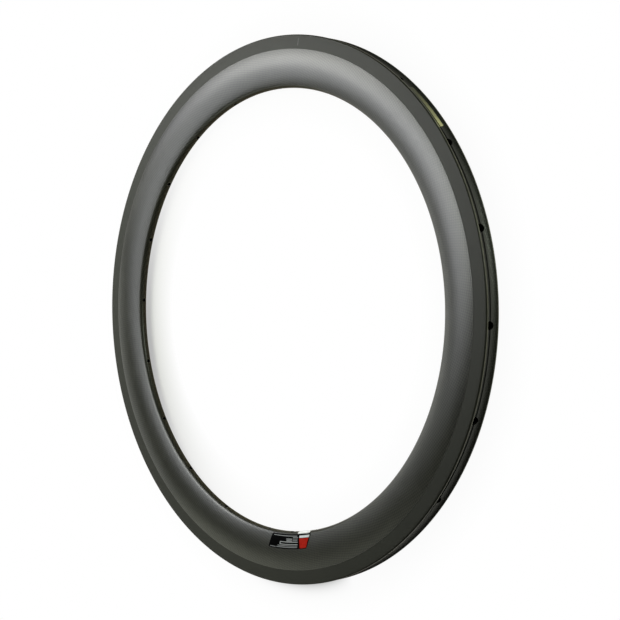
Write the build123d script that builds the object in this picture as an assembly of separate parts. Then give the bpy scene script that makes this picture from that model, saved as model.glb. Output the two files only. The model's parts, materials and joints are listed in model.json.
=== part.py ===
from build123d import *
from math import asin, cos, degrees, radians, sin, sqrt
import os

# Deep moulded bicycle rim for a glued-on tyre, with its printed film labels.
# The wheel axis is Z, the origin is the middle of the rim, and the valve hole is on -Y.
# Sections are drawn with x as the distance from the wheel axis and y along it.

# Rim section, in millimetres
RIM_DIAMETER = 633.0
RIM_DEPTH = 59.3
LIP_WIDTH = 20.5
LIP_OUTER_ROUND = 1.8
LIP_INNER_ROUND = 0.8
TRACK_HEIGHT = 16.4
FAIRING_STEP = 0.15
FAIRING_WIDTH = 23.0
FAIRING_WIDEST_DEPTH = 26.5
NOSE_ROUND = 6.5

# Tyre bed
BED_DEPTH = 4.1
BED_ROUND = 9.5
GROOVE_WIDTH = 3.0
GROOVE_DEPTH = 0.8

# Walls around the hollow inside
BED_WALL = 1.2
TRACK_WALL = 1.6
SIDE_WALL = 0.8
NOSE_WALL = 2.0
WALL_TAPER_LENGTH = 8.0
CAVITY_CORNER_ROUND = 1.2

# Drilled holes
SPOKE_COUNT = 20
SPOKE_HOLE_DIAMETER = 5.0
ACCESS_HOLE_DIAMETER = 9.0
VALVE_HOLE_DIAMETER = 6.5
VALVE_ANGLE = 270.0
DRILL_OVERSHOOT = 5.0

# Film labels
FILM = 0.15
DECAL_LENGTH = 64.5
DECAL_HEIGHT = 17.0
DECAL_SLANT = 4.9
DECAL_CORNER_ROUND = 2.0
DECAL_NOSE_LAP = 1.5
NOSE_LABEL_LENGTH = 20.0
NOSE_LABEL_WIDTH = 11.0
NOSE_LABEL_VALVE_GAP = 8.0
BED_LABEL_LENGTH = 61.5
BED_LABEL_WIDTH = 11.0
BED_LABEL_ANGLE = 36.4

# Circles of the section, as distances from the wheel axis
rim_radius = RIM_DIAMETER / 2
nose_radius = rim_radius - RIM_DEPTH
fairing_radius = rim_radius - TRACK_HEIGHT
widest_radius = rim_radius - FAIRING_WIDEST_DEPTH
bed_radius = rim_radius - BED_DEPTH
groove_radius = bed_radius - GROOVE_DEPTH
bed_centre = bed_radius + BED_ROUND
nose_centre = nose_radius + NOSE_ROUND

# One arc bulges from the brake track to the nose and meets the nose round smoothly
half_width = FAIRING_WIDTH / 2
bulge_run = widest_radius - nose_centre
bulge_round = (bulge_run**2 + half_width**2 - NOSE_ROUND**2) / (2 * (half_width - NOSE_ROUND))
bulge_offset = half_width - bulge_round
nose_tilt = degrees(asin(bulge_run / (bulge_round - NOSE_ROUND)))

spoke_pitch = 360 / SPOKE_COUNT
cavity_middle = (nose_radius + bed_radius) / 2


def bulge_height(radius, wall=0.0):
    """Half width of the fairing at this distance from the axis, inside its wall."""
    return bulge_offset + sqrt((bulge_round - wall) ** 2 - (radius - widest_radius) ** 2)


def bed_arc_radius(height, lift=0.0):
    """Distance of the bed's round from the axis, this far to the side of the rim's middle plane."""
    return bed_centre - sqrt((BED_ROUND - lift) ** 2 - height**2)


def bed_line(reach, lift=0.0):
    """Edges of the tyre bed and its groove from -reach to reach, lifted off the bed for a film."""
    floor = groove_radius + lift
    side = GROOVE_WIDTH / 2 - lift
    brink = bed_arc_radius(side, lift)
    middle = (side + reach) / 2
    edges = [Line((floor, -side), (floor, side))]
    for way in (1, -1):
        start = (brink, way * side)
        halfway = (bed_arc_radius(middle, lift), way * middle)
        end = (bed_arc_radius(reach, lift), way * reach)
        edges += [Line((floor, way * side), start), ThreePointArc(start, halfway, end)]
    return edges


def nose_arc(centre, round_radius, tilt):
    """The round of the nose, between its two meetings with the bulge."""
    return CenterArc((centre, 0), round_radius, 90 + tilt, 2 * (90 - tilt))


def bulge_arc(start_radius, end_tilt, wall=0.0):
    """The fairing's bulge on the +Z side, from this distance from the axis to the nose round."""
    start = degrees(asin((start_radius - widest_radius) / (bulge_round - wall)))
    return CenterArc((widest_radius, bulge_offset), bulge_round - wall, 90 - start, start + end_tilt)


def corners(face, places):
    """The face's corners at these places and at their mirror images."""
    both = [Vector(x, way * y) for x, y in places for way in (1, -1)]
    return [v for v in face.vertices() if min((Vector(*v) - place).length for place in both) < FILM / 2]


def outer_section():
    """Outline of the rim: bed, lips, brake tracks, fairing and nose."""
    lip_edge = LIP_WIDTH / 2
    bed_edge = sqrt(BED_ROUND**2 - (BED_ROUND - BED_DEPTH) ** 2)
    lip_inside = (rim_radius, bed_edge)
    lip_outside = (rim_radius, lip_edge)
    fairing_start = bulge_height(fairing_radius)
    track_end = (fairing_radius, fairing_start - FAIRING_STEP)
    side = Curve() + [
        Polyline(lip_inside, lip_outside, track_end, (fairing_radius, fairing_start)),
        bulge_arc(fairing_radius, nose_tilt),
    ]
    nose = nose_arc(nose_centre, NOSE_ROUND, nose_tilt)
    face = make_face(Curve() + bed_line(bed_edge) + [side, mirror(side, Plane.XZ), nose])
    face = fillet(corners(face, [lip_outside]), LIP_OUTER_ROUND)
    return fillet(corners(face, [lip_inside]), LIP_INNER_ROUND)


def cavity_section():
    """Outline of the hollow inside the rim, with its own wall at the bed, tracks, sides and nose."""
    roof_round = BED_ROUND + GROOVE_DEPTH + BED_WALL
    fairing_start = bulge_height(fairing_radius)
    track_outer = fairing_start - FAIRING_STEP
    track_flare = (track_outer - LIP_WIDTH / 2) / TRACK_HEIGHT
    track_inner = track_outer - TRACK_WALL
    roof_edge = LIP_WIDTH / 2 - TRACK_WALL + track_flare * BED_DEPTH
    roof_corner = (bed_centre - sqrt(roof_round**2 - roof_edge**2), roof_edge)
    taper_end = fairing_radius - WALL_TAPER_LENGTH
    inner_round = bulge_round - SIDE_WALL
    inner_run = widest_radius - nose_radius - NOSE_WALL
    nose_round = (inner_round**2 - inner_run**2 - bulge_offset**2) / (2 * (inner_round - inner_run))
    tilt = degrees(asin((inner_run - nose_round) / (inner_round - nose_round)))
    side = Curve() + [
        Polyline(roof_corner, (fairing_radius, track_inner), (taper_end, bulge_height(taper_end, SIDE_WALL))),
        bulge_arc(taper_end, tilt, SIDE_WALL),
    ]
    roof = ThreePointArc(
        roof_corner,
        (bed_centre - roof_round, 0),
        (roof_corner[0], -roof_edge),
    )
    nose = nose_arc(nose_radius + NOSE_WALL + nose_round, nose_round, tilt)
    face = make_face(Curve() + [roof, side, mirror(side, Plane.XZ), nose])
    return fillet(corners(face, [roof_corner]), CAVITY_CORNER_ROUND)


def radial_drill(diameter, angle, start, end):
    """A drill pointing away from the wheel axis, between two distances from it."""
    bit = Cylinder(diameter / 2, end - start, align=(Align.CENTER, Align.CENTER, Align.MIN))
    return Rot(0, 0, angle) * Pos(start, 0, 0) * Rot(0, 90, 0) * bit


def make_rim():
    """Hollow ring, drilled for the spokes, for reaching their nipples and for the valve."""
    ring = revolve(Plane.XZ * (outer_section() - cavity_section()), Axis.Z)
    inside = nose_radius - DRILL_OVERSHOOT
    outside = rim_radius + DRILL_OVERSHOOT
    drills = [radial_drill(VALVE_HOLE_DIAMETER, VALVE_ANGLE, inside, outside)]
    for spoke in range(SPOKE_COUNT):
        angle = VALVE_ANGLE + (spoke + 0.5) * spoke_pitch
        drills.append(radial_drill(SPOKE_HOLE_DIAMETER, angle, inside, cavity_middle))
        drills.append(radial_drill(ACCESS_HOLE_DIAMETER, angle, cavity_middle, outside))
    return ring - drills


def turned_film(section, start_angle, sweep):
    """A film of this section, laid along the rim from one angle over a sweep."""
    return Rot(0, 0, start_angle) * revolve(Plane.XZ * section, Axis.Z, sweep)


def arc_film(centre, round_radius, start_angle, sweep):
    """Section of a film that lies on a round of the rim."""
    inner = CenterArc(centre, round_radius, start_angle, sweep)
    outer = CenterArc(centre, round_radius + FILM, start_angle, sweep)
    return make_face(Curve() + [inner, outer, Line(inner @ 0, outer @ 0), Line(inner @ 1, outer @ 1)])


def decal_outline():
    """Flat outline of the fairing's film: a slanted strip with round corners, +y towards the nose."""
    along = DECAL_LENGTH / 2
    across = DECAL_HEIGHT / 2
    lean = DECAL_SLANT / 2
    outline = Polyline(
        (lean - along, across),
        (lean + along, across),
        (along - lean, -across),
        (-along - lean, -across),
        close=True,
    )
    face = make_face(outline)
    return fillet(face.vertices(), DECAL_CORNER_ROUND)


def make_fairing_decal():
    """Printed film on the fairing beside the valve hole, lapping onto the nose round."""
    lap_turn = degrees(DECAL_NOSE_LAP / NOSE_ROUND)
    bulge_turn = degrees(DECAL_HEIGHT / bulge_round)
    tilt = nose_tilt - degrees((DECAL_HEIGHT / 2 - DECAL_NOSE_LAP) / bulge_round)
    on_bulge = arc_film((widest_radius, bulge_offset), bulge_round, 90 + nose_tilt - bulge_turn, bulge_turn)
    on_nose = arc_film((nose_centre, 0), NOSE_ROUND, 90 + nose_tilt, 2 * lap_turn)
    radius = widest_radius - bulge_round * sin(radians(tilt))
    height = bulge_offset + bulge_round * cos(radians(tilt))
    sweep = 2 * degrees(DECAL_LENGTH / radius)
    film = turned_film(on_bulge + on_nose, -sweep / 2, sweep)
    facing = Plane((radius, 0, height), x_dir=(0, 1, 0), z_dir=(-sin(radians(tilt)), 0, cos(radians(tilt))))
    decal = film & extrude(facing * decal_outline(), DECAL_HEIGHT, both=True)
    return Rot(0, 0, VALVE_ANGLE) * decal


def make_nose_label():
    """Film wrapped over the nose, between the valve hole and the next spoke hole."""
    wrap = degrees(NOSE_LABEL_WIDTH / NOSE_ROUND)
    strip = arc_film((nose_centre, 0), NOSE_ROUND, 180 - wrap / 2, wrap)
    start = VALVE_ANGLE + degrees((VALVE_HOLE_DIAMETER / 2 + NOSE_LABEL_VALVE_GAP) / nose_radius)
    return turned_film(strip, start, degrees(NOSE_LABEL_LENGTH / nose_radius))


def make_bed_label():
    """Film pressed into the tyre bed and its groove, between two access holes."""
    reach = BED_LABEL_WIDTH / 2
    ends = [
        Line((bed_arc_radius(reach), way * reach), (bed_arc_radius(reach, FILM), way * reach))
        for way in (1, -1)
    ]
    strip = make_face(Curve() + bed_line(reach) + bed_line(reach, FILM) + ends)
    sweep = degrees(BED_LABEL_LENGTH / bed_radius)
    return turned_film(strip, BED_LABEL_ANGLE - sweep / 2, sweep)


pieces = {
    "rim": make_rim(),
    "fairing_decal": make_fairing_decal(),
    "nose_label": make_nose_label(),
    "bed_label": make_bed_label(),
}

os.makedirs("parts", exist_ok=True)
for name, piece in pieces.items():
    export_step(piece, f"parts/{name}.step")
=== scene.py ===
import json
from math import asin, atan2, cos, dist, pi, radians, sin, sqrt, tan

import bmesh
import bpy
from mathutils import Matrix, Vector


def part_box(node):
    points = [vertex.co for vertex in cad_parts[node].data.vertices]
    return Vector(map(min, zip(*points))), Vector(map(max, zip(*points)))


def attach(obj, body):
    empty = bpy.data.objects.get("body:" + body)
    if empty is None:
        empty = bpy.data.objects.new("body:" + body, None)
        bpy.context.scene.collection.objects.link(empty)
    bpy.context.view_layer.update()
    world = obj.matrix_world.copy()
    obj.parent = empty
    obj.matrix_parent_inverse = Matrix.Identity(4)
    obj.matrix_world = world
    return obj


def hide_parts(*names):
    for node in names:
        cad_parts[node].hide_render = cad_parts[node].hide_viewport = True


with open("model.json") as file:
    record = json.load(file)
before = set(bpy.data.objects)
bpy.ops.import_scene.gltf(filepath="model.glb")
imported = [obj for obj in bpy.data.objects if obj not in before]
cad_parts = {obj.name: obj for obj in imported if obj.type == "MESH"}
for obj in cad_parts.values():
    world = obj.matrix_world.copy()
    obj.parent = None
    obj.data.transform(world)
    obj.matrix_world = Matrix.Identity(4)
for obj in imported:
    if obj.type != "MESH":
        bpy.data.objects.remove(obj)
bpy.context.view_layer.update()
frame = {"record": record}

# Rim section, in metres
RIM_DEPTH = 0.0593
LIP_WIDTH = 0.0205
LIP_OUTER_ROUND = 0.0018
LIP_INNER_ROUND = 0.0008
TRACK_HEIGHT = 0.0164
FAIRING_STEP = 0.00015
FAIRING_WIDTH = 0.023
FAIRING_WIDEST_DEPTH = 0.0265
NOSE_ROUND = 0.0065
BED_DEPTH = 0.0041
BED_ROUND = 0.0095
GROOVE_WIDTH = 0.003
GROOVE_DEPTH = 0.0008

# Walls round the hollow, and the access holes in the tyre bed
BED_WALL = 0.0012
TRACK_WALL = 0.0016
SIDE_WALL = 0.0008
NOSE_WALL = 0.002
ACCESS_HOLE_RADIUS = 0.0045
DRILL_OVERSHOOT = 0.005

# Film labels
FILM = 0.00015
DECAL_LENGTH = 0.0645
DECAL_HEIGHT = 0.017
DECAL_SLANT = 0.0049
DECAL_CORNER_ROUND = 0.002
DECAL_NOSE_LAP = 0.0015
NOSE_LABEL_LENGTH = 0.020
NOSE_LABEL_WIDTH = 0.011
NOSE_LABEL_VALVE_GAP = 0.008
BED_LABEL_LENGTH = 0.0615
BED_LABEL_WIDTH = 0.011
BED_LABEL_ANGLE = radians(36.4)
LABEL_CORNER_ROUND = 0.0005

# Woven cloth: width of its fibre bundles, and their turn against the rim's circles
BUNDLE = 0.00188
CLOTH_TURN = radians(30)

# Painted highlights: a pale edge round a drilled hole, and a pale line where the fairing steps down
# to the track
HOLE_EDGE = 0.0003
STEP_LINE = 0.0008
STEP_LINE_SOFT = 0.0003

# Soft edges of the painted shade in the groove and of the smooth outer lip
GROOVE_SOFT = 0.0004
LIP_SOFT = 0.0006

# Crest of the lip, worn and with a painted highlight, as heights over the middle plane
CREST_START = 0.0079
CREST_END = 0.0089
CREST_SOFT = 0.0004

# Moulding mark on one brake track
MARK_ANGLE = radians(74)
MARK_WIDTH = 0.0009
MARK_SOFT = 0.0006
MARK_START = 0.3040
MARK_END = 0.3122
MARK_END_SOFT = 0.001

# Plain bars on the decal: left and right end from its middle, upper and lower edge from its
# nose side, strength
DECAL_BARS = (
    (0.0158, 0.0324, 0.0017, 0.0044, 1.0),
    (-0.0270, 0.0120, 0.0018, 0.0026, 0.42),
    (-0.0055, 0.0042, 0.0052, 0.0063, 0.45),
    (-0.0048, 0.0042, 0.0072, 0.0083, 0.48),
    (0.0052, 0.0136, 0.0034, 0.0042, 0.36),
    (0.0052, 0.0136, 0.0052, 0.0060, 0.36),
    (0.0052, 0.0136, 0.0070, 0.0078, 0.36),
    (-0.0157, 0.0143, 0.0088, 0.0095, 0.66),
    (-0.0157, -0.0148, 0.0095, 0.0115, 0.66),
    (-0.0157, 0.0143, 0.0115, 0.0122, 0.62),
    (-0.0190, 0.0143, 0.0131, 0.0139, 0.40),
    (-0.0210, 0.0143, 0.0148, 0.0156, 0.42),
    (-0.0320, -0.0222, 0.0152, 0.0158, 0.38),
)
BAR_SOFT = 0.0004

# Plain red field on the decal, narrowing away from the nose
RED_LEFT = 0.0160
RED_RIGHT = 0.0317
RED_TOP = 0.005
RED_BOTTOM = 0.0162
RED_LEAN = 0.22
RED_SOFT = 0.0006

# Soiled ends of the white film, as shares of its half length
SOILED_START = 0.9
SOILED_SOFT = 0.2
PAST_END = 2.0

# Painted shade where the pale film folds into the groove, before and past its sides
FOLD_BEFORE = 0.0003
FOLD_PAST = 0.0002
FOLD_SOFT = 0.0003

# Colours, as red, green, blue and cover
CLOTH_DARK = (0.0012, 0.0013, 0.0006, 1)
CLOTH_PALE = (0.0270, 0.0280, 0.0165, 1)
CLOTH_STEP_HIGHLIGHT = (0.060, 0.060, 0.052, 1)
CLOTH_HOLE_GLINT = (0.11, 0.105, 0.085, 1)
BED_DARK = (0.0035, 0.0038, 0.0022, 1)
BED_PALE = (0.023, 0.0245, 0.0165, 1)
BED_GROOVE_SHADE = (0.010, 0.0102, 0.0075, 1)
TRACK_DARK = (0.0150, 0.0158, 0.0108, 1)
TRACK_PALE = (0.0280, 0.0292, 0.0212, 1)
LIP_WEAR_AND_SHEEN = (0.180, 0.170, 0.120, 1)
MOULD_MARK = (0.110, 0.110, 0.100, 1)
LAMINATE_DARK = (0.003, 0.003, 0.003, 1)
LAMINATE_PALE = (0.010, 0.010, 0.009, 1)
DECAL_BLACK = (0.0006, 0.0006, 0.0006, 1)
DECAL_BLACK_DULL = (0.0022, 0.0022, 0.0022, 1)
DECAL_GREY = (0.62, 0.64, 0.64, 1)
DECAL_RED = (0.46, 0.020, 0.011, 1)
WHITE_DULL = (0.84, 0.84, 0.83, 1)
WHITE_CLEAN = (0.92, 0.92, 0.91, 1)
WHITE_SOILED = (0.66, 0.60, 0.57, 1)
PALE_FILM_DIM_END = (0.11, 0.11, 0.07, 1)
PALE_FILM_LIT_END = (0.86, 0.81, 0.44, 1)
PALE_FILM_FOLD_SHADE = (0.020, 0.021, 0.012, 1)
FLOOR_WHITE = (1, 1, 1, 1)
FLOOR_MIRROR_DIM = (0.24, 0.21, 0.13, 1)
FLOOR_MIRROR_BRIGHT = (0.92, 0.92, 0.86, 1)
PAPER_BOUNCE = (0.82, 0.82, 0.80, 1)
PAPER_SEEN = (0.42, 0.43, 0.37, 1)

# Fineness of the uneven tones, as noise scales
FAIRING_CLOUDS = 22.0
BED_CLOUDS = 40.0
BED_LUMPS = 420.0
TRACK_CLOUDS = 30.0
TRACK_GRAIN = 900.0
TRACK_STREAKS = 4.0
STREAKS_ROUND = 90.0
STREAKS_ACROSS = 25.0
LIP_CREST_PATCHES = 120.0
LAMINATE_CLOUDS = 400.0
DECAL_CLOUDS = 300.0
WHITE_FILM_CLOUDS = 150.0
PALE_FILM_CLOUDS = 220.0
PLAIN_DETAIL = 2.0
FINE_DETAIL = 3.0

# Depth of the fine relief in the finishes
WEAVE_RELIEF = 0.0001
BED_RELIEF = 0.0002
STREAK_RELIEF = 0.0001

# Camera
PHOTO_SIDE = 620
FOCAL_PIXELS = 1219.664
SENSOR_WIDTH = 36.0
CAMERA_YAW = radians(45.857)
CAMERA_TILT = radians(0.842)
CAMERA_ROLL = radians(0.166)
VALVE_TURN = radians(6.625)
CAMERA_PLACE = Vector((0.040088, -0.000091, 1.427112))

# Floor: its painted shade near the rim, all round, inside the rim and outside its foot, and
#  the side that shows brightest in reflections
FLOOR_SIDE = 60.0
SHADOW_REACH = 0.045
SHADE_ALL_ROUND = 0.04
SHADE_INSIDE = 0.5
SHADE_SIDE = radians(184)
SHADE_GATHER = 4
SHADE_FOOT = 0.75
FOOT_SIDE = radians(-92)
FOOT_END_COSINE = 0.962
FOOT_GATHER = 7
BRIGHT_SIDE = radians(-12)
BRIGHT_SWING = 0.85
DIM_STUDIO = 0.02

# Soft lights: name, azimuth and elevation in degrees, distance, width, height, radiance, tint
SOFTBOXES = (
    ("key_softbox", 132, 40, 0.8, 0.22, 0.22, 7.7, (1.0, 1.0, 0.94)),
    ("broad_softbox", 140, 42, 0.8, 0.60, 0.60, 1.47, (0.97, 1.0, 1.0)),
    ("top_softbox", 112, 70, 0.8, 0.40, 0.36, 5.7, (0.97, 1.0, 0.95)),
    ("high_softbox", 152, 60, 0.8, 0.40, 0.36, 2.7, (0.98, 1.0, 1.02)),
    ("middle_softbox", 152, 50, 0.8, 0.40, 0.36, 1.15, (0.97, 1.0, 1.10)),
    ("front_softbox", 142, 30, 0.8, 0.22, 0.22, 1.65, (1.0, 0.98, 1.15)),
    ("edge_softbox", 113, 45, 0.86, 0.20, 0.20, 7.2, (1.0, 1.0, 0.96)),
    ("brim_softbox", 131, 29, 0.96, 0.30, 0.16, 3.4, (1.0, 1.0, 0.98)),
    ("low_softbox", 178, 10, 3.0, 2.0, 0.9, 1.5, (0.99, 1.0, 0.95)),
    ("side_softbox", 186, 19, 0.66, 0.40, 0.14, 0.8, (0.98, 1.0, 0.95)),
    ("left_softbox", 220, 25, 0.8, 0.45, 0.30, 1.1, (0.97, 1.0, 0.84)),
    ("rear_softbox", 234, 46, 0.85, 0.26, 0.22, 0.95, (0.97, 1.0, 0.86)),
    ("right_softbox", 12, 5, 0.9, 0.30, 0.15, 10.4, (0.90, 1.0, 0.81)),
)

# Fineness of the meshes
STEPS_ROUND = 480
HOLLOW_STEPS_ROUND = 120
DRILL_SIDES = 48
FILM_STEPS_ALONG = 181
FILM_STEPS_ACROSS = 61
BED_STEPS = 14
LIP_INNER_STEPS = 5
LIP_OUTER_STEPS = 8
TRACK_STEPS = 4
BULGE_STEPS = 36
NOSE_STEPS = 14
HOLLOW_ROOF_STEPS = 8
HOLLOW_SIDE_STEPS = 10
HOLLOW_NOSE_STEPS = 6
SAME_POINT = 0.00001
MOST_SIDES = 4
SMOOTH_ANGLE = radians(35)

# A value past every place on the rim, for bands that are open at one side
FAR = 1.0

# Circles of the section, as distances from the wheel axis
bores = {mount["name"]: mount for mount in frame["record"]["mounts"] if mount["kind"] == "bore"}
spoke_bores = [bore for name, bore in bores.items() if name.startswith("spoke")]
spoke_hole_radius = spoke_bores[0]["dims"]["r_mm"] / 1000
valve_hole_radius = bores["valve_hole"]["dims"]["r_mm"] / 1000
valve_angle = atan2(bores["valve_hole"]["axis"][1], bores["valve_hole"]["axis"][0])
spoke_pitch = 2 * pi / len(spoke_bores)
rim_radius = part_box("rim")[1].x
nose_radius = rim_radius - RIM_DEPTH
fairing_radius = rim_radius - TRACK_HEIGHT
widest_radius = rim_radius - FAIRING_WIDEST_DEPTH
bed_radius = rim_radius - BED_DEPTH
groove_radius = bed_radius - GROOVE_DEPTH
bed_centre = bed_radius + BED_ROUND
nose_centre = nose_radius + NOSE_ROUND
bed_edge = sqrt(BED_ROUND**2 - (BED_ROUND - BED_DEPTH) ** 2)
half_width = FAIRING_WIDTH / 2
bulge_run = widest_radius - nose_centre
bulge_round = (bulge_run**2 + half_width**2 - NOSE_ROUND**2) / (2 * (half_width - NOSE_ROUND))
bulge_offset = half_width - bulge_round
nose_tilt = asin(bulge_run / (bulge_round - NOSE_ROUND))
bed_label_flat_width = BED_LABEL_WIDTH + 2 * GROOVE_DEPTH


class Wire:
    """An output of a node. Arithmetic with wires adds Math nodes to their tree."""

    def __init__(self, socket):
        self.socket = socket

    def other(self, output):
        """Another output of the same node."""
        return Wire(self.socket.node.outputs[output])

    def math(self, operation, *values):
        """A Math node with this wire as its first value."""
        sockets = dict(enumerate((self, *values)))
        return add(self.socket.id_data, "ShaderNodeMath", {"operation": operation}, sockets)

    def after(self, operation, value):
        """The same with this wire as the second value."""
        sockets = {0: value, 1: self}
        return add(self.socket.id_data, "ShaderNodeMath", {"operation": operation}, sockets)

    def __add__(self, value):
        return self.math("ADD", value)

    def __radd__(self, value):
        return self.after("ADD", value)

    def __sub__(self, value):
        return self.math("SUBTRACT", value)

    def __rsub__(self, value):
        return self.after("SUBTRACT", value)

    def __mul__(self, value):
        return self.math("MULTIPLY", value)

    def __rmul__(self, value):
        return self.after("MULTIPLY", value)

    def __truediv__(self, value):
        return self.math("DIVIDE", value)

    def __gt__(self, value):
        return self.math("GREATER_THAN", value)

    def __lt__(self, value):
        return self.math("LESS_THAN", value)

    def __abs__(self):
        return self.math("ABSOLUTE")

    def share(self):
        """The value kept between 0 and 1."""
        return self.math("MAXIMUM", 0.0).math("MINIMUM", 1.0)

    def within(self, low, high, soft):
        """1 between two values and 0 outside them, with soft ends."""
        return ((self - low) / soft + 0.5).share() * ((high - self) / soft + 0.5).share()


def add(tree, kind, settings=None, sockets=None, output=0):
    """Adds a node with its settings and its sockets' values and links. Returns one output."""
    node = tree.nodes.new(kind)
    for name, value in (settings or {}).items():
        setattr(node, name, value)
    for name, value in (sockets or {}).items():
        if isinstance(value, Wire):
            tree.links.new(value.socket, node.inputs[name])
        else:
            node.inputs[name].default_value = value
    return Wire(node.outputs[output]) if len(node.outputs) else None


def between(low, high, share):
    """A strength that goes from low to high with a share from 0 to 1."""
    return low + (high - low) * share


# Materials


def new_finish(name, **uniform):
    """A material, its tree and its shader, with the values that are the same all over."""
    material = bpy.data.materials.new(name)
    material.use_nodes = True
    shader = material.node_tree.nodes["Principled BSDF"]
    for socket, value in uniform.items():
        shader.inputs[socket.replace("_", " ")].default_value = value
    return material, material.node_tree, shader


def lead(wire, shader, socket):
    """Links a wire to a socket of the shader."""
    shader.id_data.links.new(wire.socket, shader.inputs[socket])


def mix_colour(tree, share, first, second):
    """A colour between two colours, by a share from 0 to 1."""
    sockets = {0: share, 6: first, 7: second}
    return add(tree, "ShaderNodeMix", {"data_type": "RGBA"}, sockets, 2)


def grain(tree, point, scale, detail=PLAIN_DETAIL):
    """Soft noise from 0 to 1."""
    sockets = {"Vector": point, "Scale": scale, "Detail": detail}
    return add(tree, "ShaderNodeTexNoise", None, sockets)


def raise_relief(tree, shader, height, depth, strength):
    """Gives the surface a fine relief."""
    sockets = {"Strength": strength, "Distance": depth, "Height": height}
    lead(add(tree, "ShaderNodeBump", None, sockets), shader, "Normal")


def object_point(tree):
    """The point of the piece that is shaded."""
    return add(tree, "ShaderNodeTexCoord", output="Object")


def rim_place(tree):
    """The point, its distance from the wheel axis, its angle round it and its height over the
    middle plane."""
    point = object_point(tree)
    x = add(tree, "ShaderNodeSeparateXYZ", None, {0: point})
    y, z = x.other("Y"), x.other("Z")
    return point, (x * x + y * y).math("SQRT"), y.math("ARCTAN2", x), z


def crown(across):
    """Height of a fibre bundle over its own width."""
    side = across.math("FRACT") * 2 - 1
    return 1 - side * side


def even_count(length):
    """How many bundles lie side by side on a length, as an even number, so that the weave
    closes round the wheel."""
    return 2 * round(length / BUNDLE / 2)


def plain_weave(angle, along):
    """Where the one set of bundles lies on top in a one-over-one weave, and how high the top
    bundle stands."""
    turn = 2 * pi * widest_radius
    first_count = even_count(turn * cos(CLOTH_TURN)) / (2 * pi)
    second_count = even_count(turn * sin(CLOTH_TURN)) / (2 * pi)
    first = angle * first_count - along * (sin(CLOTH_TURN) / BUNDLE)
    second = angle * second_count + along * (cos(CLOTH_TURN) / BUNDLE)
    step = (first.math("FLOOR") + second.math("FLOOR")) / 2
    on_top = step.math("FRACT") < 0.25
    height = on_top * crown(first) + (1 - on_top) * crown(second)
    return on_top, height


def fairing_length(distance, z):
    """Length along the fairing's bulge, outwards from its widest place."""
    return (distance - widest_radius).math("ARCTAN2", abs(z) - bulge_offset) * bulge_round


def bed_length(distance, z):
    """Length along the tyre bed's round from its middle."""
    return z.math("ARCTAN2", bed_centre - distance) * BED_ROUND


def hole_edge(distance, angle, z, radius):
    """The drilled edge round the evenly spaced holes of the spokes."""
    turn = (angle - valve_angle) / spoke_pitch
    along = (turn.math("FRACT") - 0.5) * spoke_pitch * distance
    reach = (along * along + z * z).math("SQRT")
    return reach.within(radius - HOLE_EDGE, radius + HOLE_EDGE, HOLE_EDGE)


def woven_fairing():
    """Woven fibre under a matt clear coat, with painted highlights: a pale line where it
    steps down to the track and a pale edge round the drilled holes."""
    material, tree, shader = new_finish("woven_fairing", Specular_IOR_Level=0.65)
    point, distance, angle, z = rim_place(tree)
    on_top, height = plain_weave(angle, fairing_length(distance, z))
    cloud = grain(tree, point, FAIRING_CLOUDS)
    shade = (on_top * 0.8 + height * 0.2) * between(0.6, 1.2, cloud)
    cloth = mix_colour(tree, shade.share(), CLOTH_DARK, CLOTH_PALE)
    # Painted highlight: a pale line along the step down to the track
    line_start = fairing_radius - STEP_LINE / 2
    step_highlight = distance.within(line_start, line_start + STEP_LINE, STEP_LINE_SOFT)
    step_highlight = step_highlight * between(0.4, 1.2, cloud)
    cloth = mix_colour(tree, step_highlight.share(), cloth, CLOTH_STEP_HIGHLIGHT)
    # Painted highlight: a pale ring at the drilled edge of the spoke holes
    drilled = hole_edge(distance, angle, z, spoke_hole_radius) * (distance < nose_centre)
    drilled = drilled * between(0.3, 1.0, cloud)
    lead(mix_colour(tree, drilled, cloth, CLOTH_HOLE_GLINT), shader, "Base Color")
    lead(0.28 + 0.03 * on_top + 0.03 * cloud, shader, "Roughness")
    raise_relief(tree, shader, height, WEAVE_RELIEF, 0.35)
    return material


def woven_bed():
    """Bare woven laminate of the tyre bed, dull and uneven, with painted shade in the groove."""
    material, tree, shader = new_finish("woven_bed", Specular_IOR_Level=0.5)
    point, distance, angle, z = rim_place(tree)
    on_top, height = plain_weave(angle, bed_length(distance, z))
    lumps = grain(tree, point, BED_LUMPS, FINE_DETAIL)
    cloud = grain(tree, point, BED_CLOUDS)
    shade = on_top * 0.45 + height * 0.25 + lumps * 0.5 + cloud * 0.3 - 0.25
    cloth = mix_colour(tree, shade.share(), BED_DARK, BED_PALE)
    # Painted shade in the groove, uneven with the lumps
    groove = abs(z).within(-FAR, GROOVE_WIDTH / 2, GROOVE_SOFT) * between(0.55, 1.15, lumps)
    lead(mix_colour(tree, groove.share(), cloth, BED_GROOVE_SHADE), shader, "Base Color")
    lead(0.32 + 0.10 * on_top + 0.2 * lumps, shader, "Roughness")
    raise_relief(tree, shader, height * 0.6 + lumps, BED_RELIEF, 0.5)
    return material


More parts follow.
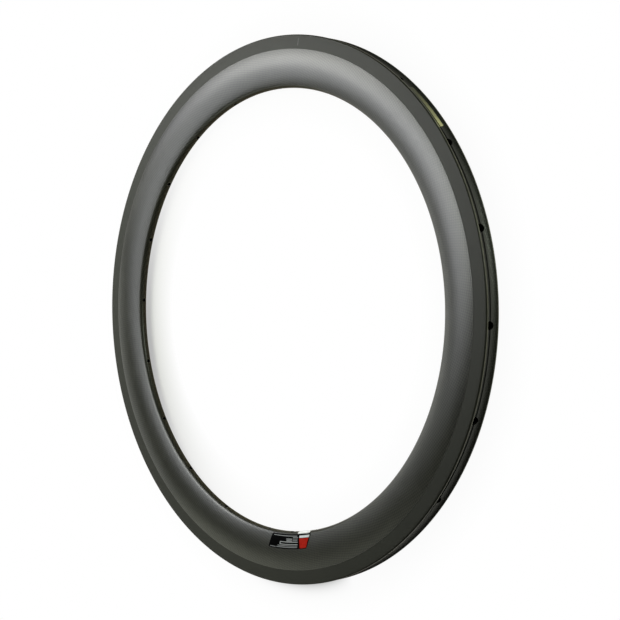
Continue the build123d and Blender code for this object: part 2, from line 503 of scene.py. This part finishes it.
def brake_track():
    """Flat brake surface: matt, with fine radial streaks, a worn lip crest with a painted
    highlight, and the mark where its mould closed."""
    material, tree, shader = new_finish("brake_track", Specular_IOR_Level=0.28)
    point, distance, angle, z = rim_place(tree)
    sockets = {0: angle * STREAKS_ROUND, 1: distance * STREAKS_ACROSS}
    streaks = grain(tree, add(tree, "ShaderNodeCombineXYZ", None, sockets), TRACK_STREAKS)
    cloud = grain(tree, point, TRACK_CLOUDS)
    fine = grain(tree, point, TRACK_GRAIN)
    shade = streaks * 0.4 + cloud * 0.4 + fine * 0.2
    ground = mix_colour(tree, shade, TRACK_DARK, TRACK_PALE)
    crest_wear_and_sheen = between(0.35, 1.25, grain(tree, point, LIP_CREST_PATCHES))
    # Painted highlight along the worn crest of the lip, patchy like wear
    crest = abs(z).within(CREST_START, CREST_END, CREST_SOFT) * crest_wear_and_sheen
    lip = mix_colour(tree, crest.share(), ground, LIP_WEAR_AND_SHEEN)
    beside = abs(angle - MARK_ANGLE) * distance
    mark = beside.within(-FAR, MARK_WIDTH / 2, MARK_SOFT)
    mark = mark * distance.within(MARK_START, MARK_END, MARK_END_SOFT) * (z > 0.0)
    mark = mark * between(0.5, 1.0, cloud)
    lead(mix_colour(tree, mark, lip, MOULD_MARK), shader, "Base Color")
    smooth = distance.within(rim_radius - LIP_OUTER_ROUND, FAR, LIP_SOFT)
    lead(0.5 + 0.15 * streaks - 0.25 * smooth, shader, "Roughness")
    raise_relief(tree, shader, streaks + fine, STREAK_RELIEF, 0.08)
    return material


def bare_laminate():
    """Drilled and hollow inner faces, where the laminate shows raw."""
    material, tree, shader = new_finish("bare_laminate", Specular_IOR_Level=0.1)
    cloud = grain(tree, object_point(tree), LAMINATE_CLOUDS)
    lead(mix_colour(tree, cloud, LAMINATE_DARK, LAMINATE_PALE), shader, "Base Color")
    lead(between(0.7, 0.9, cloud), shader, "Roughness")
    return material


def film_place(tree):
    """Where a point lies on its film, as shares of the film's length and width."""
    spread = add(tree, "ShaderNodeAttribute", {"attribute_name": "print"}, output="Vector")
    along = add(tree, "ShaderNodeSeparateXYZ", None, {0: spread})
    return along, along.other("Y")


def decal_print():
    """Black film with plain printed fields: a white bar, a red field, and grey bars and lines."""
    material, tree, shader = new_finish("decal_print", Specular_IOR_Level=0.015)
    along, across = film_place(tree)
    x = (along - 0.5) * DECAL_LENGTH + (across - 0.5) * DECAL_SLANT
    y = (1 - across) * DECAL_HEIGHT
    cloud = grain(tree, object_point(tree), DECAL_CLOUDS)
    colour = mix_colour(tree, cloud, DECAL_BLACK, DECAL_BLACK_DULL)
    for left, right, top, bottom, strength in DECAL_BARS:
        bar = x.within(left, right, BAR_SOFT) * y.within(top, bottom, BAR_SOFT)
        colour = mix_colour(tree, bar * strength, colour, DECAL_GREY)
    lean = (y - RED_TOP) * RED_LEAN
    red = (x - lean).within(RED_LEFT, FAR, RED_SOFT) * (x + lean).within(-FAR, RED_RIGHT, RED_SOFT)
    red = red * y.within(RED_TOP, RED_BOTTOM, RED_SOFT) * between(0.6, 1.0, cloud)
    lead(mix_colour(tree, red, colour, DECAL_RED), shader, "Base Color")
    lead(between(0.28, 0.36, cloud), shader, "Roughness")
    return material


def white_film():
    """White film, slightly uneven, soiled towards its cut ends."""
    material, tree, shader = new_finish("white_film", Specular_IOR_Level=0.4)
    along = film_place(tree)[0]
    cloud = grain(tree, object_point(tree), WHITE_FILM_CLOUDS)
    ends = (abs(along - 0.5) * 2).within(SOILED_START, PAST_END, SOILED_SOFT) * cloud
    paper = mix_colour(tree, cloud, WHITE_DULL, WHITE_CLEAN)
    lead(mix_colour(tree, ends.share(), paper, WHITE_SOILED), shader, "Base Color")
    lead(between(0.35, 0.45, cloud), shader, "Roughness")
    return material


def pale_film():
    """Pale see-through film, with painted light that brightens it towards one end and
    painted shade where it is pressed into the groove.
    """
    material, tree, shader = new_finish("pale_film", Specular_IOR_Level=0.4)
    along, across = film_place(tree)
    cloud = grain(tree, object_point(tree), PALE_FILM_CLOUDS, FINE_DETAIL)
    # Painted light: the film is lighter towards one end and dimmer towards the other
    end_light = (1 - along + (cloud - 0.5) * 0.2).share()
    film = mix_colour(tree, end_light * end_light, PALE_FILM_DIM_END, PALE_FILM_LIT_END)
    side = abs(across - 0.5) * bed_label_flat_width
    brink = GROOVE_WIDTH / 2
    # Painted shade where the film dips into the groove
    fold_shade = side.within(brink - FOLD_BEFORE, brink + GROOVE_DEPTH + FOLD_PAST, FOLD_SOFT)
    fold_shade = fold_shade * between(0.75, 1.0, cloud)
    lead(mix_colour(tree, fold_shade, film, PALE_FILM_FOLD_SHADE), shader, "Base Color")
    lead(between(0.4, 0.65, cloud), shader, "Roughness")
    return material


# Sections


def arc(centre, radius, start, end, steps):
    """Points of an arc of the section, between two angles."""
    angles = [start + (end - start) * i / steps for i in range(steps + 1)]
    return [(centre[0] + radius * cos(a), centre[1] + radius * sin(a)) for a in angles]


def run(start, end, steps):
    """Points of a straight run of the section, without its end."""
    return [tuple(Vector(start).lerp(Vector(end), i / steps)) for i in range(steps)]


def corner_round(before, corner, after, radius, steps):
    """Points of the round that takes off a corner."""
    corner = Vector(corner)
    back = (Vector(before) - corner).normalized()
    ahead = (Vector(after) - corner).normalized()
    half = back.angle(ahead) / 2
    centre = corner + (back + ahead).normalized() * radius / sin(half)
    first = (corner + back * radius / tan(half) - centre).normalized()
    last = (corner + ahead * radius / tan(half) - centre).normalized()
    return [tuple(centre + radius * first.slerp(last, i / steps)) for i in range(steps + 1)]


def bulge_height(distance):
    """Half width of the fairing at a distance from the axis."""
    return bulge_offset + sqrt(bulge_round**2 - (distance - widest_radius) ** 2)


def mirrored(half):
    """A whole outline from its half on one side, which starts and ends on the middle plane."""
    return half + [(x, -y) for x, y in reversed(half[1:-1])]


def outer_section():
    """Outline of the rim, from the middle of the tyre bed round to the nose and back."""
    groove_side = GROOVE_WIDTH / 2
    brink_angle = pi - asin(groove_side / BED_ROUND)
    edge_angle = pi - asin(bed_edge / BED_ROUND)
    bed = arc((bed_centre, 0), BED_ROUND, brink_angle, edge_angle, BED_STEPS)
    lip_inside = (rim_radius, bed_edge)
    lip_outside = (rim_radius, LIP_WIDTH / 2)
    track_end = (fairing_radius, bulge_height(fairing_radius) - FAIRING_STEP)
    inner_round = corner_round(bed[-2], lip_inside, lip_outside, LIP_INNER_ROUND, LIP_INNER_STEPS)
    outer_round = corner_round(lip_inside, lip_outside, track_end, LIP_OUTER_ROUND, LIP_OUTER_STEPS)
    start_angle = pi / 2 - asin((fairing_radius - widest_radius) / bulge_round)
    nose_angle = pi / 2 + nose_tilt
    half = [(groove_radius, 0), (groove_radius, groove_side)]
    half += [point for point in bed if point[1] < inner_round[0][1]]
    half += inner_round + outer_round[:-1]
    half += run(outer_round[-1], track_end, TRACK_STEPS) + [track_end]
    bulge_centre = (widest_radius, bulge_offset)
    half += arc(bulge_centre, bulge_round, start_angle, nose_angle, BULGE_STEPS)[:-1]
    half += arc((nose_centre, 0), NOSE_ROUND, nose_angle, pi, NOSE_STEPS)
    return mirrored(half)


def hollow_section():
    """Outline of the hollow inside the rim."""
    roof_round = BED_ROUND + GROOVE_DEPTH + BED_WALL
    roof_angle = pi - asin((LIP_WIDTH / 2 - TRACK_WALL) / roof_round)
    track_inner = bulge_height(fairing_radius) - FAIRING_STEP - TRACK_WALL
    inner_round = bulge_round - SIDE_WALL
    inner_run = widest_radius - nose_radius - NOSE_WALL
    nose = (inner_round**2 - inner_run**2 - bulge_offset**2) / (2 * (inner_round - inner_run))
    nose_angle = pi / 2 + asin((inner_run - nose) / (inner_round - nose))
    half = arc((bed_centre, 0), roof_round, pi, roof_angle, HOLLOW_ROOF_STEPS)
    half += [(fairing_radius, track_inner)]
    side_centre = (widest_radius, bulge_offset)
    half += arc(side_centre, inner_round, pi / 2, nose_angle, HOLLOW_SIDE_STEPS)[:-1]
    half += arc((nose_radius + NOSE_WALL + nose, 0), nose, nose_angle, pi, HOLLOW_NOSE_STEPS)
    return mirrored(half)


def section_curve(name, outline):
    """A closed curve with the distance from the wheel axis as x."""
    curve = bpy.data.curves.new(name, "CURVE")
    curve.dimensions = "3D"
    spline = curve.splines.new("POLY")
    spline.points.add(len(outline) - 1)
    for point, (x, y) in zip(spline.points, outline):
        point.co = (x, y, 0, 1)
    spline.use_cyclic_u = True
    section = bpy.data.objects.new(name, curve)
    bpy.context.scene.collection.objects.link(section)
    return section


# Geometry Nodes


def new_rule(name, inputs):
    """An empty geometry tree with named inputs, and a wire for each of them."""
    tree = bpy.data.node_groups.new(name, "GeometryNodeTree")
    tree.interface.new_socket("Geometry", in_out="OUTPUT", socket_type="NodeSocketGeometry")
    for label, kind in inputs.items():
        tree.interface.new_socket(label, in_out="INPUT", socket_type="NodeSocket" + kind)
    start = tree.nodes.new("NodeGroupInput")
    return tree, {label: Wire(start.outputs[label]) for label in inputs}


def end_rule(tree, geometry, finishes):
    """Realizes what the tree has made, gives each finish to its faces and leads the whole out."""
    whole = add(tree, "GeometryNodeRealizeInstances", None, {"Geometry": geometry})
    for material, faces in finishes:
        sockets = {"Geometry": whole, "Material": material, "Selection": faces}
        whole = add(tree, "GeometryNodeSetMaterial", None, sockets)
    add(tree, "NodeGroupOutput", None, {"Geometry": whole})


def made_by_rule(name, tree, values):
    """A plain mesh object from a tree and the values of its inputs."""
    maker = bpy.data.objects.new(name, bpy.data.meshes.new(name))
    bpy.context.scene.collection.objects.link(maker)
    modifier = maker.modifiers.new("rule", "NODES")
    modifier.node_group = tree
    for item in tree.interface.items_tree:
        if item.in_out == "INPUT":
            modifier[item.identifier] = values[item.name]
    bpy.context.view_layer.update()
    made = maker.evaluated_get(bpy.context.evaluated_depsgraph_get())
    mesh = bpy.data.meshes.new_from_object(made)
    mesh.name = name
    maker.modifiers.remove(modifier)
    maker.data = mesh
    return maker


def joined(tree, parts):
    """Several geometries as one."""
    whole = tree.nodes.new("GeometryNodeJoinGeometry")
    for part in parts:
        tree.links.new(part.socket, whole.inputs[0])
    return Wire(whole.outputs[0])


def merged(tree, geometry):
    """The geometry with points that lie in one place made one point."""
    sockets = {"Geometry": geometry, "Distance": SAME_POINT}
    return add(tree, "GeometryNodeMergeByDistance", None, sockets)


def drawn_section(tree, section):
    """The curve of a section object."""
    return add(tree, "GeometryNodeObjectInfo", None, {"Object": section}, "Geometry")


def swept(tree, section, steps, radius):
    """A section swept round the wheel axis."""
    inwards = add(tree, "ShaderNodeCombineXYZ", None, {"X": radius * -1})
    sockets = {"Geometry": drawn_section(tree, section), "Translation": inwards}
    profile = add(tree, "GeometryNodeTransform", None, sockets)
    sockets = {"Resolution": steps, "Radius": radius}
    path = add(tree, "GeometryNodeCurvePrimitiveCircle", None, sockets)
    sockets = {"Curve": path, "Profile Curve": profile}
    return add(tree, "GeometryNodeCurveToMesh", None, sockets)


def radial_drills(tree, count, first_angle, radius, start, end):
    """Drills that point away from the wheel axis at an even pitch."""
    sockets = {"Vertices": DRILL_SIDES, "Radius": radius, "Depth": end - start}
    bit = add(tree, "GeometryNodeMeshCylinder", None, sockets)
    index = add(tree, "GeometryNodeInputIndex")
    angle = first_angle + index * (2 * pi) / count
    middle = (start + end) / 2
    sockets = {0: angle.math("COSINE") * middle, 1: angle.math("SINE") * middle}
    place = add(tree, "ShaderNodeCombineXYZ", None, sockets)
    points = add(tree, "GeometryNodePoints", None, {"Count": count, "Position": place})
    turn = add(tree, "ShaderNodeCombineXYZ", None, {1: pi / 2, 2: angle})
    sockets = {"Points": points, "Instance": bit, "Rotation": turn}
    return add(tree, "GeometryNodeInstanceOnPoints", None, sockets)


def marked_raw(tree, mesh):
    """Marks faces where the laminate shows raw, so that they are known after the drilling."""
    settings = {"data_type": "BOOLEAN", "domain": "FACE"}
    sockets = {"Geometry": mesh, "Name": "raw", "Value": True}
    return add(tree, "GeometryNodeStoreNamedAttribute", settings, sockets)


def rim_rule():
    """Sweeps the two sections round the wheel and drills the ring."""
    tree, size = new_rule("sweep_and_drill", {
        "Section": "Object",
        "Hollow Section": "Object",
        "Rim Radius": "Float",
        "Fairing Radius": "Float",
        "Bed Edge": "Float",
        "Hollow Middle": "Float",
        "Drill Start": "Float",
        "Drill End": "Float",
        "Spoke Count": "Int",
        "Spoke Angle": "Float",
        "Spoke Hole Radius": "Float",
        "Access Hole Radius": "Float",
        "Valve Angle": "Float",
        "Valve Hole Radius": "Float",
        "Steps Round": "Int",
        "Hollow Steps Round": "Int",
        "Fairing": "Material",
        "Track": "Material",
        "Bed": "Material",
        "Laminate": "Material",
    })
    radius = size["Rim Radius"]
    skin = swept(tree, size["Section"], size["Steps Round"], radius)
    hollow = swept(tree, size["Hollow Section"], size["Hollow Steps Round"], radius)
    hollow = add(tree, "GeometryNodeFlipFaces", None, {"Mesh": marked_raw(tree, hollow)})
    ring = joined(tree, (hollow, skin))

    spokes = (size["Spoke Count"], size["Spoke Angle"])
    start, end = size["Drill Start"], size["Drill End"]
    gap = 2 * size["Access Hole Radius"]
    bits = (
        (*spokes, size["Spoke Hole Radius"], start, size["Hollow Middle"] - gap),
        (*spokes, size["Access Hole Radius"], size["Hollow Middle"] + gap, end),
        (1, size["Valve Angle"], size["Valve Hole Radius"], start, end),
    )
    drills = joined(tree, [radial_drills(tree, *bit) for bit in bits])
    cutter = add(tree, "GeometryNodeRealizeInstances", None, {"Geometry": drills})
    settings = {"operation": "DIFFERENCE", "solver": "MANIFOLD"}
    sockets = {"Mesh 1": ring, "Mesh 2": marked_raw(tree, cutter)}
    drilled = merged(tree, add(tree, "GeometryNodeMeshBoolean", settings, sockets))

    # Faces with many sides are split, so that none folds up when the mesh is written out
    sides = add(tree, "GeometryNodeInputMeshFaceNeighbors", output="Vertex Count")
    sockets = {"Mesh": drilled, "Selection": sides > MOST_SIDES}
    drilled = add(tree, "GeometryNodeTriangulate", {"ngon_method": "BEAUTY"}, sockets)

    x = add(tree, "ShaderNodeSeparateXYZ", None, {0: add(tree, "GeometryNodeInputPosition")})
    y, z = x.other("Y"), x.other("Z")
    outside = (x * x + y * y).math("SQRT") > size["Fairing Radius"]
    beside = abs(z) > size["Bed Edge"]
    settings = {"data_type": "BOOLEAN"}
    raw = add(tree, "GeometryNodeInputNamedAttribute", settings, {"Name": "raw"}, "Attribute")
    end_rule(tree, drilled, (
        (size["Fairing"], True),
        (size["Track"], outside * beside),
        (size["Bed"], outside * (1 - beside)),
        (size["Laminate"], raw),
    ))
    return tree


def film_rule():
    """Lays a film with round corners along the rim's section and round the wheel."""
    tree, size = new_rule("film_on_the_rim", {
        "Section": "Object",
        "Section Length": "Float",
        "Section Place": "Float",
        "Angle": "Float",
        "Length": "Float",
        "Width": "Float",
        "Corner Round": "Float",
        "Slant": "Float",
        "Thickness": "Float",
        "Print": "Material",
    })
    length, width, corner = size["Length"], size["Width"], size["Corner Round"]
    sheet = add(tree, "GeometryNodeMeshGrid", None, {
        "Size X": length,
        "Size Y": width,
        "Vertices X": FILM_STEPS_ALONG,
        "Vertices Y": FILM_STEPS_ACROSS,
    })
    x = add(tree, "ShaderNodeSeparateXYZ", None, {0: add(tree, "GeometryNodeInputPosition")})
    y, z = x.other("Y"), x.other("Z")

    # Round the corners, note where the print goes, and give the sheet its thickness
    past = (abs(x) - length / 2 + corner).math("MAXIMUM", 0.0)
    drop = corner - (corner * corner - past * past).math("MAXIMUM", 0.0).math("SQRT")
    squeezed = y * (1 - 2 * drop / width)
    rounded = add(tree, "ShaderNodeCombineXYZ", None, {0: x, 1: squeezed})
    sockets = {"Geometry": sheet, "Position": rounded}
    sheet = add(tree, "GeometryNodeSetPosition", None, sockets)
    sockets = {0: x / length + 0.5, 1: y / width + 0.5}
    spread = add(tree, "ShaderNodeCombineXYZ", None, sockets)
    settings = {"data_type": "FLOAT2", "domain": "CORNER"}
    sockets = {"Geometry": sheet, "Name": "print", "Value": spread}
    sheet = add(tree, "GeometryNodeStoreNamedAttribute", settings, sockets)
    sockets = {"Mesh": sheet, "Offset Scale": size["Thickness"], "Individual": False}
    top = add(tree, "GeometryNodeExtrudeMesh", None, sockets)
    under = add(tree, "GeometryNodeFlipFaces", None, {"Mesh": sheet})
    closed = merged(tree, joined(tree, (under, top)))

    # Lay it on the section and turn it round the wheel axis
    along = (size["Section Place"] + y).math("FLOORED_MODULO", size["Section Length"])
    sockets = {"Curves": drawn_section(tree, size["Section"]), "Length": along}
    seat = add(tree, "GeometryNodeSampleCurve", {"mode": "LENGTH"}, sockets, "Position")
    sockets = {0: seat.other("Normal"), "Scale": z}
    lift = add(tree, "ShaderNodeVectorMath", {"operation": "SCALE"}, sockets)
    raised = add(tree, "ShaderNodeVectorMath", {"operation": "ADD"}, {0: seat, 1: lift})
    distance = add(tree, "ShaderNodeSeparateXYZ", None, {0: raised})
    angle = size["Angle"] + (x + size["Slant"] * y / width) / distance
    laid = add(tree, "ShaderNodeCombineXYZ", None, {
        0: distance * angle.math("COSINE"),
        1: distance * angle.math("SINE"),
        2: distance.other("Y"),
    })
    film = add(tree, "GeometryNodeSetPosition", None, {"Geometry": closed, "Position": laid})
    end_rule(tree, film, ((size["Print"], True),))
    return tree


def smoothed(piece):
    """Shades a piece smooth, apart from its sharp edges."""
    piece.data.shade_smooth()
    piece.data.set_sharp_from_angle(angle=SMOOTH_ANGLE)


def face_outwards(piece):
    """Turns the faces of a closed piece outwards."""
    shape = bmesh.new()
    shape.from_mesh(piece.data)
    bmesh.ops.recalc_face_normals(shape, faces=shape.faces)
    shape.to_mesh(piece.data)
    shape.free()


# Pieces

outline = outer_section()
section_length = sum(dist(a, b) for a, b in zip(outline, outline[1:] + outline[:1]))
section = section_curve("rim_section", outline)
hollow = section_curve("hollow_section", hollow_section())

rim_shell = made_by_rule("rim_shell", rim_rule(), {
    "Section": section,
    "Hollow Section": hollow,
    "Rim Radius": rim_radius,
    "Fairing Radius": fairing_radius,
    "Bed Edge": bed_edge,
    "Hollow Middle": (nose_radius + bed_radius) / 2,
    "Drill Start": nose_radius - DRILL_OVERSHOOT,
    "Drill End": rim_radius + DRILL_OVERSHOOT,
    "Spoke Count": len(spoke_bores),
    "Spoke Angle": valve_angle + spoke_pitch / 2,
    "Spoke Hole Radius": spoke_hole_radius,
    "Access Hole Radius": ACCESS_HOLE_RADIUS,
    "Valve Angle": valve_angle,
    "Valve Hole Radius": valve_hole_radius,
    "Steps Round": STEPS_ROUND,
    "Hollow Steps Round": HOLLOW_STEPS_ROUND,
    "Fairing": woven_fairing(),
    "Track": brake_track(),
    "Bed": woven_bed(),
    "Laminate": bare_laminate(),
})
smoothed(rim_shell)
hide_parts("rim")
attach(rim_shell, "root")

nose_place = section_length / 2
nose_quarter = NOSE_ROUND * (pi / 2 - nose_tilt)
nose_label_start = valve_hole_radius + NOSE_LABEL_VALVE_GAP
films = film_rule()
film_pieces = {
    "fairing_decal": {
        "Section Place": nose_place - nose_quarter + DECAL_NOSE_LAP - DECAL_HEIGHT / 2,
        "Angle": valve_angle,
        "Length": DECAL_LENGTH,
        "Width": DECAL_HEIGHT,
        "Corner Round": DECAL_CORNER_ROUND,
        "Slant": DECAL_SLANT,
        "Print": decal_print(),
    },
    "nose_label": {
        "Section Place": nose_place,
        "Angle": valve_angle + (nose_label_start + NOSE_LABEL_LENGTH / 2) / nose_radius,
        "Length": NOSE_LABEL_LENGTH,
        "Width": NOSE_LABEL_WIDTH,
        "Corner Round": LABEL_CORNER_ROUND,
        "Slant": 0.0,
        "Print": white_film(),
    },
    "bed_label": {
        "Section Place": 0.0,
        "Angle": BED_LABEL_ANGLE,
        "Length": BED_LABEL_LENGTH,
        "Width": bed_label_flat_width,
        "Corner Round": LABEL_CORNER_ROUND,
        "Slant": 0.0,
        "Print": pale_film(),
    },
}
for node, sizes in film_pieces.items():
    shared = {"Section": section, "Section Length": section_length, "Thickness": FILM}
    film = made_by_rule(node + "_film", films, {**shared, **sizes})
    face_outwards(film)
    smoothed(film)
    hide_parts(node)
    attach(film, "root")

for drawing in (section, hollow):
    bpy.data.objects.remove(drawing)

# Stage


def seen_directly(tree):
    """1 for rays that come straight from the camera, also through clear things, and a Light
    Path node to read other rays from."""
    ray = add(tree, "ShaderNodeLightPath", output="Is Camera Ray")
    return ray.math("MAXIMUM", ray.other("Is Transmission Ray")), ray


def studio_floor():
    """Floor that shows as white to the camera. Near the rim the white gives way to paper that
    keeps the rim's shadow, shown darker to the camera as painted shade, most inside the rim
    and outside its foot. In reflections it is bright at one side and dim at the other."""
    material = bpy.data.materials.new("studio_floor")
    material.use_nodes = True
    tree = material.node_tree
    tree.nodes.clear()
    seen, ray = seen_directly(tree)
    reflected = ray.other("Is Glossy Ray")
    distance, angle = rim_place(tree)[1:3]
    gap = (nose_radius - distance).math("MAXIMUM", distance - rim_radius)
    near = (1 - gap / SHADOW_REACH).share()
    inside = distance < widest_radius
    away = (angle - SHADE_SIDE).math("COSINE").share().math("POWER", SHADE_GATHER)
    foot = (angle - FOOT_SIDE).math("COSINE") - FOOT_END_COSINE
    foot = (foot / (1 - FOOT_END_COSINE)).share() * (1 - inside)
    # Painted shade, deepest inside the rim and outside its foot
    shade = near * (SHADE_ALL_ROUND + SHADE_INSIDE * inside * away)
    shade = shade + SHADE_FOOT * foot * near.math("POWER", FOOT_GATHER)
    bright = (angle - BRIGHT_SIDE).math("COSINE") * BRIGHT_SWING + (1 - BRIGHT_SWING)
    mirror = mix_colour(tree, bright.share(), FLOOR_MIRROR_DIM, FLOOR_MIRROR_BRIGHT)
    colour = mix_colour(tree, reflected, FLOOR_WHITE, mirror)
    white = (seen * (1 - shade)).math("MAXIMUM", reflected)
    # Painted shade: to the camera the paper shows darker than the light it throws back
    sheet = mix_colour(tree, seen, PAPER_BOUNCE, PAPER_SEEN)
    paper = add(tree, "ShaderNodeBsdfDiffuse", None, {"Color": sheet})
    glow = add(tree, "ShaderNodeEmission", None, {"Color": colour, "Strength": 1.0})
    both = add(tree, "ShaderNodeMixShader", None, {0: white, 1: paper, 2: glow})
    add(tree, "ShaderNodeOutputMaterial", None, {"Surface": both})
    return material


def softbox(name, azimuth, elevation, distance, width, height, radiance, tint):
    """A soft light, by its direction from the middle of the rim, that faces the middle."""
    flat = cos(radians(elevation))
    aside, ahead = flat * cos(radians(azimuth)), flat * sin(radians(azimuth))
    way = Vector((aside, ahead, sin(radians(elevation))))
    lamp = bpy.data.lights.new(name, "AREA")
    lamp.shape = "RECTANGLE"
    lamp.size = width
    lamp.size_y = height
    lamp.energy = radiance * pi * width * height
    lamp.color = tint
    light = bpy.data.objects.new(name, lamp)
    light.location = way * distance
    light.rotation_euler = (-way).to_track_quat("-Z", "Y").to_euler()
    light.visible_camera = False
    bpy.context.scene.collection.objects.link(light)


half_floor = FLOOR_SIDE / 2
floor_signs = ((-1, -1), (1, -1), (1, 1), (-1, 1))
floor_corners = [(x * half_floor, y * half_floor, -half_width) for x, y in floor_signs]
floor_mesh = bpy.data.meshes.new("floor")
floor_mesh.from_pydata(floor_corners, [], [(0, 1, 2, 3)])
floor_mesh.materials.append(studio_floor())
floor = bpy.data.objects.new("floor", floor_mesh)
bpy.context.scene.collection.objects.link(floor)

for values in SOFTBOXES:
    softbox(*values)

world = bpy.data.worlds.new("studio")
world.use_nodes = True
backdrop = world.node_tree.nodes["Background"]
backdrop.inputs["Color"].default_value = (1, 1, 1, 1)
lead(between(DIM_STUDIO, 1, seen_directly(world.node_tree)[0]), backdrop, "Strength")
bpy.context.scene.world = world

lens = bpy.data.cameras.new("camera")
lens.sensor_width = SENSOR_WIDTH
lens.lens = FOCAL_PIXELS / PHOTO_SIDE * SENSOR_WIDTH
camera = bpy.data.objects.new("camera", lens)
sight = (
    Matrix.Rotation(CAMERA_ROLL, 3, "Z")
    @ Matrix.Rotation(CAMERA_TILT, 3, "X")
    @ Matrix.Rotation(-CAMERA_YAW, 3, "Y")
    @ Matrix.Rotation(VALVE_TURN, 3, "Z")
)
facing = sight.transposed()
camera.matrix_world = Matrix.Translation(facing @ CAMERA_PLACE) @ facing.to_4x4()
bpy.context.scene.collection.objects.link(camera)
bpy.context.scene.camera = camera
bpy.context.scene.view_settings.view_transform = "Standard"
